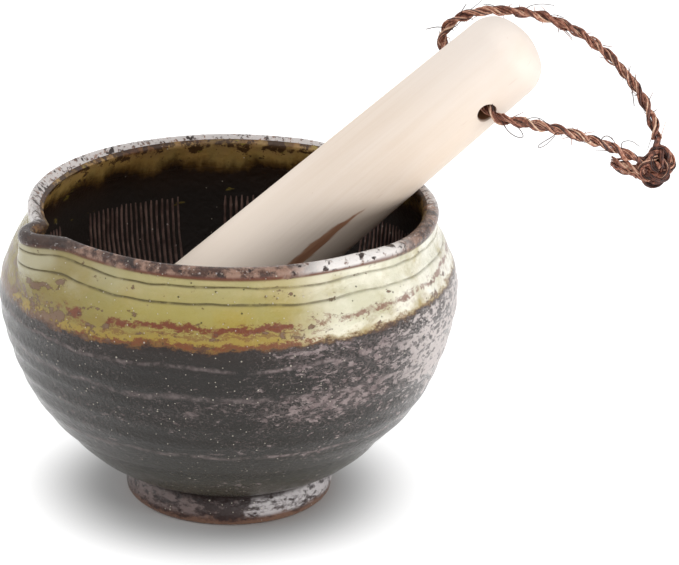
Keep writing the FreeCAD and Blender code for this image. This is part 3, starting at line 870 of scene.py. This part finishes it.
def combing_tree():
    """Strokes of parallel ridges that run down the ball-shaped hollow to its middle."""
    mix, given, out = new_group(
        "combing",
        [("Shape", SHAPE, None), ("Strokes", WHOLE, COMB_STROKES), ("Lines", WHOLE, COMB_LINES),
         ("Pitch", NUMBER, COMB_PITCH * MM), ("Ridge", NUMBER, COMB_RIDGE * MM),
         ("Ball", NUMBER, BALL * MM), ("Ball Height", NUMBER, BALL_HEIGHT * MM),
         ("Turn", NUMBER, 0.0), ("Seed", WHOLE, 3)],
        [("Shape", SHAPE)], "GeometryNodeTree")
    low_end = math.radians(COMB_LOW_END)
    high_end = math.radians(COMB_HIGH_END)
    arc = mix.add("GeometryNodeCurveArc", {
        "Resolution": 56, "Radius": given["Ball"], "Start Angle": low_end,
        "Sweep Angle": high_end - low_end}, mode="RADIUS")
    upright = mix.add("GeometryNodeTransform", {
        "Geometry": arc.outputs[0], "Rotation": (0.0, math.radians(90.0), 0.0)})
    half = mix.times(mix.minus(given["Lines"], 1.0), 0.5)
    row = mix.add("GeometryNodeMeshLine", {
        "Count": given["Lines"],
        "Start Location": mix.joined(mix.times(half, given["Pitch"], -1.0)),
        "Offset": mix.joined(given["Pitch"])}, mode="OFFSET")
    here = mix.add("GeometryNodeInputPosition").outputs[0]
    share = mix.calc("DIVIDE", mix.parts(here)["X"], given["Ball"])
    shrink = mix.calc("SQRT", mix.minus(1.0, mix.times(share, share)))
    stroke = mix.add("GeometryNodeInstanceOnPoints", {
        "Points": row.outputs[0], "Instance": upright.outputs[0],
        "Scale": mix.joined(1.0, shrink, shrink)})
    stack = mix.add("GeometryNodeMeshLine", {
        "Count": given["Strokes"], "Offset": (0.0, 0.0, 0.0),
        "Start Location": mix.joined(0.0, 0.0, given["Ball Height"])}, mode="OFFSET")
    number = mix.add("GeometryNodeInputIndex").outputs[0]
    step = mix.calc("DIVIDE", 2 * math.pi, given["Strokes"])
    turn = mix.plus(mix.times(number, step), given["Turn"])
    turned = mix.add("FunctionNodeEulerToRotation", {0: mix.joined(0.0, 0.0, turn)})
    strokes = mix.add("GeometryNodeInstanceOnPoints", {
        "Points": stack.outputs[0], "Instance": stroke.outputs[0], "Rotation": turned.outputs[0]})
    real = mix.add("GeometryNodeRealizeInstances", {0: strokes.outputs[0]})
    cut = mix.add("FunctionNodeRandomValue", {
        "Seed": given["Seed"], 2: 0.992, 3: 1.0}, data_type="FLOAT")
    trimmed = mix.add("GeometryNodeTrimCurve", {
        "Curve": real.outputs[0], "End": cut.outputs[1]}, mode="FACTOR")
    lines = swayed(mix, trimmed.outputs[0], 90.0, 1.0, (0.0009, 0.0009, 0.0002))
    along = mix.add("GeometryNodeSplineParameter").outputs["Factor"]
    ends = mix.calc("MINIMUM", mix.ease(along, 0.0, 0.05), mix.ease(along, 1.0, 0.975, 0.5, 1.0))
    worn = mix.add("ShaderNodeTexNoise", {"Scale": 160.0, "Detail": 2.0}).outputs["Fac"]
    size = mix.times(ends, mix.plus(0.6, mix.times(worn, 0.8)))
    return tubes(mix, out, lines, 6, given["Ridge"], size, RIDGES)


def apply_tree(obj, group, inputs, name):
    modifier = obj.modifiers.new("shape", "NODES")
    modifier.node_group = group
    for item in group.interface.items_tree:
        if item.item_type == "SOCKET" and item.in_out == "INPUT" and item.name in inputs:
            modifier[item.identifier] = inputs[item.name]
    return frozen(obj, name)


def make_combing():
    seed_mesh = bpy.data.meshes.new("combing_start")
    start = link(bpy.data.objects.new("combing_start", seed_mesh))
    return apply_tree(start, combing_tree(), {
        "Strokes": COMB_STROKES, "Lines": COMB_LINES, "Pitch": COMB_PITCH * MM,
        "Ridge": COMB_RIDGE * MM, "Ball": BALL * MM, "Ball Height": BALL_HEIGHT * MM,
        "Turn": math.radians(COMB_TURN), "Seed": 3}, "combed_ridges")


bowl = make_bowl()
ridges = make_combing()


def pestle_outline():
    outline = [(0.0, 0.0), (PESTLE_FOOT - PESTLE_ROUND, 0.0)]
    outline += swelled(outline[-1], (PESTLE_FOOT, PESTLE_ROUND), PESTLE_ROUND * 0.293, 10)
    top = PESTLE_LENGTH - PESTLE_DOME + 0.6
    outline += swelled(outline[-1], (PESTLE_HEAD, top), 0.0, 150)
    crown = (PESTLE_HEAD * 0.66, PESTLE_LENGTH - PESTLE_DOME * 0.2)
    outline += swelled(outline[-1], crown, 1.15, 8)
    outline += swelled(outline[-1], (0.0, PESTLE_LENGTH), 0.45, 8)
    return outline


def turned_mesh(name, outline, segments, material):
    """A closed turned shape about its own Z, from its foot's middle to its head's."""
    spots = [(0.0, 0.0, outline[0][1])]
    for radius, height in outline[1:-1]:
        for step in range(segments):
            angle = 2 * math.pi * step / segments
            spots.append((radius * math.cos(angle), radius * math.sin(angle), height))
    spots.append((0.0, 0.0, outline[-1][1]))
    faces = round_faces(segments, len(outline) - 2)
    return mesh_piece(name, np.array(spots) * MM, faces, material)


def make_pestle():
    pestle = turned_mesh("turned_pestle", pestle_outline(), 240, WOOD)
    mouth = PESTLE_HEAD + 2.0
    bore_line = [(0.0, -mouth), (HOLE_RADIUS + 0.9, -mouth), (HOLE_RADIUS + 0.25, -mouth + 2.0),
                 (HOLE_RADIUS, -mouth + 2.7), (HOLE_RADIUS, mouth - 2.7),
                 (HOLE_RADIUS + 0.25, mouth - 2.0), (HOLE_RADIUS + 0.9, mouth), (0.0, mouth)]
    bore = turned_mesh("bore", bore_line, 40, WOOD)
    height = (PESTLE_LENGTH - HOLE_FROM_HEAD) * MM
    bore.matrix_world = Matrix.Translation((0, 0, height)) @ Matrix.Rotation(math.pi / 2, 4, "Y")
    bpy.context.view_layer.update()
    hollowing = pestle.modifiers.new("bore", "BOOLEAN")
    hollowing.object = bore
    hollowing.operation = "DIFFERENCE"
    hollowing.solver = "EXACT"
    pestle = frozen(pestle, "turned_pestle")
    bpy.data.objects.remove(bore)
    mesh = pestle.data
    mesh.polygons.foreach_set("use_smooth", [True] * len(mesh.polygons))
    mesh.set_sharp_from_angle(angle=math.radians(38))
    spots = np.array([v.co for v in mesh.vertices]) / MM
    along = mesh.attributes.new("own_place", "FLOAT_VECTOR", "POINT")
    along.data.foreach_set("vector", spots.astype(np.float32).ravel())
    reach = np.hypot(spots[:, 0], spots[:, 1])
    taper = PESTLE_FOOT + (PESTLE_HEAD - PESTLE_FOOT) * spots[:, 2] / PESTLE_LENGTH
    from_hole = np.hypot(spots[:, 1], spots[:, 2] - height / MM)
    inside = (from_hole < HOLE_RADIUS + 0.5) & (reach < taper - 0.6)
    add_values(pestle, "bored", inside.astype(float))
    angle = np.degrees(np.arctan2(spots[:, 1], spots[:, 0]))
    middle = np.interp(spots[:, 2], *STREAK_MIDDLE)
    half = np.interp(spots[:, 2], *STREAK_HALF)
    wave = np.array([noise.noise(Vector((z * 0.35, a * 0.06, 2.0)))
                     for a, z in zip(angle, spots[:, 2])])
    off = np.abs(angle - middle + 1.6 * wave)
    add_values(pestle, "heartwood", 1.0 - smooth_step(off, half - 0.9, half + 0.35))
    place = Matrix.Translation(HOLE_MIDDLE) @ OWN.to_4x4()
    mesh.transform(place @ Matrix.Translation((0, 0, -height)))
    return pestle


pestle = make_pestle()


def fibre_tree():
    """Fibres along each line of points: thin tubes of the line's own width, slightly crooked."""
    mix, given, out = new_group(
        "palm_fibres",
        [("Lines", SHAPE, None), ("Sides", WHOLE, 5), ("Crook", NUMBER, 0.0002),
         ("Grain", NUMBER, 700.0)],
        [("Shape", SHAPE)], "GeometryNodeTree")
    lines = mix.add("GeometryNodeMeshToCurve", {0: given["Lines"]})
    amount = mix.joined(given["Crook"], given["Crook"], given["Crook"])
    crooked = swayed(mix, lines.outputs[0], given["Grain"], 2.0, amount)
    width = mix.add("GeometryNodeInputNamedAttribute", {"Name": "width"}, data_type="FLOAT")
    return tubes(mix, out, crooked, given["Sides"], 1.0, width.outputs[0], FIBRE)


FIBRES = fibre_tree()


def smooth_line(points):
    """The points of one smooth rope line through the given way, in metres, close together."""
    data = bpy.data.curves.new("rope_line", "CURVE")
    data.dimensions = "3D"
    spline = data.splines.new("NURBS")
    spline.points.add(len(points) - 1)
    for point, spot in zip(spline.points, points):
        point.co = (*spot, 1.0)
    spline.order_u = 3
    spline.use_endpoint_u = True
    spline.resolution_u = 12
    holder = link(bpy.data.objects.new("rope_line", data))
    depsgraph = bpy.context.evaluated_depsgraph_get()
    mesh = bpy.data.meshes.new_from_object(holder.evaluated_get(depsgraph))
    line = [v.co.copy() for v in mesh.vertices]
    bpy.data.objects.remove(holder)
    bpy.data.meshes.remove(mesh)
    return line


def evened(line, step):
    """The same line with its points an even step apart."""
    spots = np.array([tuple(p) for p in line])
    lengths = np.concatenate([[0], np.cumsum(np.linalg.norm(np.diff(spots, axis=0), axis=1))])
    count = max(4, int(lengths[-1] / step))
    where = np.linspace(0, lengths[-1], count + 1)
    return np.stack([np.interp(where, lengths, spots[:, axis]) for axis in range(3)], 1), where


def frames_along(spots):
    """Two directions across the line at each point, carried along it without turning."""
    ways = np.gradient(spots, axis=0)
    ways /= np.linalg.norm(ways, axis=1)[:, None]
    side = np.cross(ways[0], (0.3, 0.5, 0.8))
    side /= np.linalg.norm(side)
    sides = []
    for way in ways:
        side = side - way * np.dot(side, way)
        side = side / np.linalg.norm(side)
        sides.append(side)
    sides = np.array(sides)
    return ways, sides, np.cross(ways, sides)


STRAND_OFFSET = 0.68 * MM
STRAND_RADIUS = 0.74 * MM
LAY_LENGTH = 10.5 * MM
FIBRE_LAY = 13.0 * MM
FRAYED = 4 * MM
FIBRE_TINTS = (0.15, 0.3, 0.4, 0.48, 0.55, 0.6, 0.72, 0.9)


def noise_along(where, length, lane, seed):
    return np.array([noise.noise(Vector((w / (length * MM), lane, seed))) for w in where])


def laid_fibres(line, seed, count=14, fray=(0.0, 0.0), step=0.5 * MM):
    """Two strands of loose fibres wound round the line: their lines, widths and tints."""
    draw = random.Random(seed)
    spots, where = evened(line, step)
    _, sides, others = frames_along(spots)
    total = where[-1]
    ends = fray[0] * np.clip(1 - where / FRAYED, 0, 1)
    ends = ends + fray[1] * np.clip(1 - (total - where) / FRAYED, 0, 1)
    lines, widths, tints = [], [], []
    for strand in range(2):
        phase = math.pi * strand + draw.uniform(-0.3, 0.3)
        swell = 1 + 0.28 * noise_along(where, 3.1, 5.0 * strand, seed)
        turn = 2 * math.pi * where / LAY_LENGTH + phase
        turn = turn + 0.5 * noise_along(where, 6, 9.0, seed)
        middle = sides * np.cos(turn)[:, None] + others * np.sin(turn)[:, None]
        middle = middle * STRAND_OFFSET
        for fibre in range(count):
            reach = STRAND_RADIUS * math.sqrt((fibre + 0.5) / count) * draw.uniform(0.85, 1.1)
            start = draw.uniform(0, 2 * math.pi)
            own = 2 * math.pi * where / (FIBRE_LAY * draw.uniform(0.8, 1.3)) + start
            stray = noise_along(where, 4.5, fibre, seed + strand)
            arm = reach * swell * (1 + 0.35 * stray) + ends * draw.uniform(0.2, 1.0) * MM
            lines.append(spots + middle + sides * (np.cos(own) * arm)[:, None]
                         + others * (np.sin(own) * arm)[:, None])
            width = draw.uniform(0.17, 0.31) * MM
            widths.append(width * (1 - 0.55 * np.clip(ends, 0, 1)))
            tints.append(draw.choice(FIBRE_TINTS))
    return lines, widths, tints


def make_rope():
    line = smooth_line([placed(p) for p in ROPE_WAY])
    lines = line_piece("rope_lines", *laid_fibres(line, 3))
    return apply_tree(lines, FIBRES, {"Sides": 5, "Crook": 0.25 * MM, "Grain": 700.0},
                      "twisted_rope"), line


# The knot's turns and tails, in millimetres from its middle: to the right, up, and forward
# when the lip points left and the foot is level.
KNOT_TURN = [(-1.5, 1.0, 1.6), (1.8, -0.4, 2.2), (4.2, -0.8, 1.2), (5.0, 1.6, -0.6),
             (3.4, 4.4, -1.4), (0.6, 4.2, -1.4), (-1.6, 1.2, -1.2), (-2.4, -2.2, 0.0),
             (-0.6, -4.8, 0.9), (2.2, -4.0, 1.5), (3.4, -1.4, 2.6), (2.6, 1.6, 2.8),
             (1.4, 4.0, 1.4)]
KNOT_LOOP = [(-9.8, 0.4, -0.6), (-7.0, -0.8, -0.2), (-3.4, -2.0, 0.8), (0.4, -3.6, 2.4),
             (3.6, -2.6, 1.8), (5.2, 0.2, 0.4), (4.4, 3.4, 0.6), (1.8, 4.8, 1.2),
             (-0.6, 3.0, 2.0), (-0.2, 0.0, 3.0), (1.6, -1.0, 3.3)]
KNOT_BAND = [(-5.2, -2.6, 0.2), (-3.2, -0.4, 1.2), (-0.6, 1.6, 0.6), (2.2, 2.6, -0.2),
             (3.4, 0.6, 0.4), (1.6, -1.8, 1.0), (-1.2, -2.8, 1.6), (-3.0, -1.0, 2.2),
             (-1.8, 1.4, 2.6), (0.8, 3.0, 2.2)]
KNOT_TAIL = [(-10.9, 1.1, 0.4), (-8.0, 0.7, 0.8), (-5.0, -0.6, 1.4), (-2.0, -1.4, 1.8),
             (0.6, -0.6, 0.4), (2.0, 1.2, -0.6)]
FACING = Matrix(((1.0, 0.0, 0.0), (0.0, 0.36, -0.933), (0.0, 0.933, 0.36)))


def seen_from_front(middle, offset):
    return middle + FACING @ (Vector(offset) * MM)


def make_knot(line):
    middle = placed(KNOT_MIDDLE)
    turn, loop, tail, band = ([seen_from_front(middle, spot) for spot in way]
                              for way in (KNOT_TURN, KNOT_LOOP, KNOT_TAIL, KNOT_BAND))
    turn = [line[0]] + turn + [line[-1]]
    lines, widths, tints = [], [], []
    for seed, way, fray in ((11, turn, (0, 0)), (12, loop, (0.7, 0)), (13, tail, (0.8, 0)),
                            (14, band, (0.3, 0.3))):
        more = laid_fibres(smooth_line(way), seed, 13, fray, 0.55 * MM)
        lines += more[0]
        widths += more[1]
        tints += [tint - 0.06 for tint in more[2]]
    piece = line_piece("knot_lines", lines, widths, tints)
    return apply_tree(piece, FIBRES, {"Sides": 5, "Crook": 0.35 * MM, "Grain": 600.0},
                      "tied_knot")


SHORT_HAIRS = 150
HAIR_POINTS = 14
# Long hairs that have sprung out of the rope: how far along it each starts, and where it
# goes from there, in millimetres to the right and up.
LONG_HAIRS = [
    (0.282, [(0.0, 0.6), (-0.4, 2.4), (-0.3, 3.8), (0.9, 5.2), (2.7, 6.9)]),
    (0.261, [(0.2, -0.6), (1.0, -2.2), (2.2, -3.7), (4.2, -4.7), (5.8, -4.9), (6.1, -4.0),
             (4.6, -2.2), (3.4, -1.0)]),
    (0.158, [(0.0, -0.5), (-2.6, -2.3), (-4.9, -3.5), (-5.9, -4.6), (-5.0, -4.9),
             (-3.0, -3.8), (-1.2, -1.6)]),
    (0.540, [(0.0, 0.5), (0.4, 1.5), (1.6, 3.4)]),
    (0.656, [(0.2, 0.5), (2.0, 1.9), (5.2, 2.3), (8.2, 1.9)]),
    (0.893, [(-0.4, -0.5), (0.3, -3.2), (0.8, -6.8)]),
    (0.030, [(-0.4, 0.8), (-0.6, 2.6), (1.0, 3.2), (2.8, 2.9), (4.3, 1.6)]),
    (0.511, [(-0.4, 0.4), (-2.8, 0.5), (-5.4, -0.2)]),
    (0.225, [(0.0, 0.4), (2.0, 1.5), (4.2, 1.2), (5.6, 0.2)]),
    (0.120, [(0.0, -0.5), (1.4, -1.8), (3.0, -1.9), (3.8, -1.0)]),
    (0.075, [(0.0, 0.5), (0.8, 1.9), (2.2, 2.0), (3.4, 0.8)]),
    (0.700, [(0.0, 0.6), (1.8, 1.0), (4.0, 0.2)]),
    (0.610, [(0.0, 0.6), (-1.6, 1.4), (-3.6, 1.3)]),
]


def rounded(points, count=HAIR_POINTS):
    """A smooth line of evenly many points through a few given ones."""
    points = np.array(points, float)
    knots = np.linspace(0, 1, len(points))
    where = np.linspace(0, 1, count)
    rough = np.stack([np.interp(where, knots, points[:, axis]) for axis in range(3)], 1)
    for _ in range(2):
        rough[1:-1] = 0.25 * rough[:-2] + 0.5 * rough[1:-1] + 0.25 * rough[2:]
    return rough


def make_stray_fibres(line):
    """Thin palm hairs that have sprung out of the rope and its knot."""
    draw = random.Random(7)
    spots, _ = evened(line, 1.0 * MM)
    ways, sides, others = frames_along(spots)
    hairs, widths, tints = [], [], []
    for share, way in LONG_HAIRS:
        root = Vector(spots[int(share * (len(spots) - 1))])
        hair = [root] + [seen_from_front(root, (right, up, 1.0)) for right, up in way]
        hairs.append(rounded([tuple(spot) for spot in hair]))
        widths.append([(0.155 - 0.05 * k / (HAIR_POINTS - 1)) * MM
                       for k in range(HAIR_POINTS)])
        tints.append(0.1)
    from_middle = spots - np.array(HOLE_MIDDLE)
    deep = np.abs(from_middle @ np.array(ALONG_HOLE)) < 13.5 * MM
    hidden = deep & (np.linalg.norm(from_middle, axis=1) < 16 * MM)
    for _ in range(SHORT_HAIRS):
        index = draw.randrange(len(spots))
        if hidden[index]:
            continue
        angle = draw.uniform(0, 2 * math.pi)
        out = sides[index] * math.cos(angle) + others[index] * math.sin(angle)
        length = draw.choice((0.8, 1.2, 1.8, 2.6)) * draw.uniform(0.7, 1.2) * MM
        lean = draw.uniform(-1.6, 1.6)
        bend = draw.uniform(-0.6, 0.6)
        hair = []
        for step in range(7):
            share = step / 6
            way = out * (share * length * 0.7) + ways[index] * (lean * share * length)
            curl = np.cross(out, ways[index]) * (bend * length * share * share)
            hair.append(spots[index] + out * 1.05 * MM + way + curl)
        hairs.append(hair)
        widths.append([(0.12 - 0.05 * step / 6) * MM for step in range(7)])
        tints.append(draw.uniform(0.15, 0.8))
    piece = line_piece("hair_lines", hairs, widths, tints)
    return apply_tree(piece, FIBRES, {"Sides": 4, "Crook": 0.1 * MM, "Grain": 300.0},
                      "stray_fibres")


rope, rope_line = make_rope()
knot = make_knot(rope_line)
hairs = make_stray_fibres(rope_line)

# What moves with what; the model's own parts are hidden, the new pieces standing in for them.
for piece, body, slot in (
        (bowl, "bowl", "glazed_bowl"), (ridges, "bowl", "glazed_bowl"),
        (pestle, "pestle", "pestle_wood"), (rope, "rope_loop", "palm_rope"),
        (knot, "rope_loop", "palm_rope"), (hairs, "rope_loop", "palm_rope")):
    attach(piece, body)
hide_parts("bowl")
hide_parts("pestle")
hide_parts("hanging_rope")
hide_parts("rope_knot")


TABLE_HALF = 4.0
TABLE_GREY = 0.59
SOFT_LIGHT = 0.74


def seen_ray(mix):
    """One where a ray comes from the camera, straight, mirrored or through glass."""
    paths = mix.add("ShaderNodeLightPath").outputs
    ray = mix.most(paths["Is Camera Ray"], paths["Is Glossy Ray"])
    return mix.most(ray, paths["Is Transmission Ray"])


def table():
    material = bpy.data.materials.new("white_table")
    material.use_nodes = True
    mix = Mix(material.node_tree)
    mix.tree.nodes.clear()
    diffuse = mix.add("ShaderNodeBsdfDiffuse", {"Color": (0.85, 0.85, 0.85, 1)})
    shaded = mix.add("ShaderNodeBsdfDiffuse", {"Color": (TABLE_GREY, TABLE_GREY, TABLE_GREY, 1)})
    # Painted shadow: camera and mirror rays see a grey table that glows more and more away from the
    # bowl, so it stays dark round the foot beyond its real shadow and turns white further out; the
    # glow's middle sits 3 mm to the left.
    away = mix.vector_calc("ADD", mix.millimetres(), (3.0, 0.0, 0.0))
    away = mix.vector_calc("MULTIPLY", away, (1.0, 1.0, 0.0))
    away = mix.add("ShaderNodeVectorMath", {0: away}, operation="LENGTH").outputs["Value"]
    painted_shadow_glow = mix.ease(away, 28.0, 59.0, 0.0, 0.75)
    lit = mix.add("ShaderNodeEmission", {"Color": (1, 1, 1, 1), "Strength": painted_shadow_glow})
    both = mix.add("ShaderNodeAddShader", {0: shaded.outputs[0], 1: lit.outputs[0]})
    mixed = mix.add("ShaderNodeMixShader", {
        0: seen_ray(mix), 1: diffuse.outputs[0], 2: both.outputs[0]})
    mix.add("ShaderNodeOutputMaterial", {0: mixed.outputs[0]})
    corners = [(x * TABLE_HALF, y * TABLE_HALF, 0) for x, y in ((-1, -1), (1, -1), (1, 1), (-1, 1))]
    floor = mesh_piece("table_top", corners, [(0, 1, 2, 3)], material, smooth=False)


def world_light():
    world = bpy.data.worlds.new("studio")
    bpy.context.scene.world = world
    world.use_nodes = True
    mix = Mix(world.node_tree)
    mix.tree.nodes.clear()
    soft = mix.add("ShaderNodeBackground", {"Color": (1, 1, 1, 1), "Strength": SOFT_LIGHT})
    white = mix.add("ShaderNodeBackground", {"Color": (1, 1, 1, 1), "Strength": 1.0})
    mixed = mix.add("ShaderNodeMixShader", {
        0: seen_ray(mix), 1: soft.outputs[0], 2: white.outputs[0]})
    mix.add("ShaderNodeOutputWorld", {0: mixed.outputs[0]})


def softbox(name, place, target, width, height, power):
    light = bpy.data.lights.new(name, "AREA")
    light.shape = "RECTANGLE"
    light.size = width
    light.size_y = height
    light.energy = power
    lamp = link(bpy.data.objects.new(name, light))
    lamp.location = place
    lamp.rotation_euler = (Vector(target) - Vector(place)).to_track_quat("-Z", "Y").to_euler()


CAMERA_PITCH = 21.03
CAMERA_ROLL = 1.2
CAMERA_FAR = 0.8
SENSOR = 36.0
LENS = 160.65
AIM = Vector((0.0288, 0.0, 0.0588))


def camera():
    pitch = math.radians(CAMERA_PITCH)
    roll = math.radians(CAMERA_ROLL)
    forward = Vector((0.0, math.cos(pitch), -math.sin(pitch)))
    right = Vector((1.0, 0.0, 0.0))
    up = right.cross(forward)
    across = right * math.cos(roll) + up * math.sin(roll)
    above = up * math.cos(roll) - right * math.sin(roll)
    data = bpy.data.cameras.new("view")
    data.sensor_width = SENSOR
    data.lens = LENS
    data.clip_start = 0.01
    seen = link(bpy.data.objects.new("view", data))
    turned = Matrix((across, above, -forward)).transposed().to_4x4()
    seen.matrix_world = Matrix.Translation(AIM - forward * CAMERA_FAR) @ turned
    bpy.context.scene.camera = seen


table()
world_light()
softbox("left_box", (-0.78, -0.22, 0.5), (0, 0, 0.05), 0.32, 0.5, 2.0)
softbox("right_box", (0.85, -0.5, 0.16), (0.02, 0, 0.07), 0.4, 0.3, 4.5)
softbox("front_box", (0.12, -0.9, 0.08), (0.02, 0, 0.07), 0.5, 0.14, 0.9)
softbox("top_box", (-0.1, 0.15, 1.1), (0, 0, 0.05), 0.7, 0.7, 1.7)
camera()
bpy.context.scene.view_settings.view_transform = "Standard"
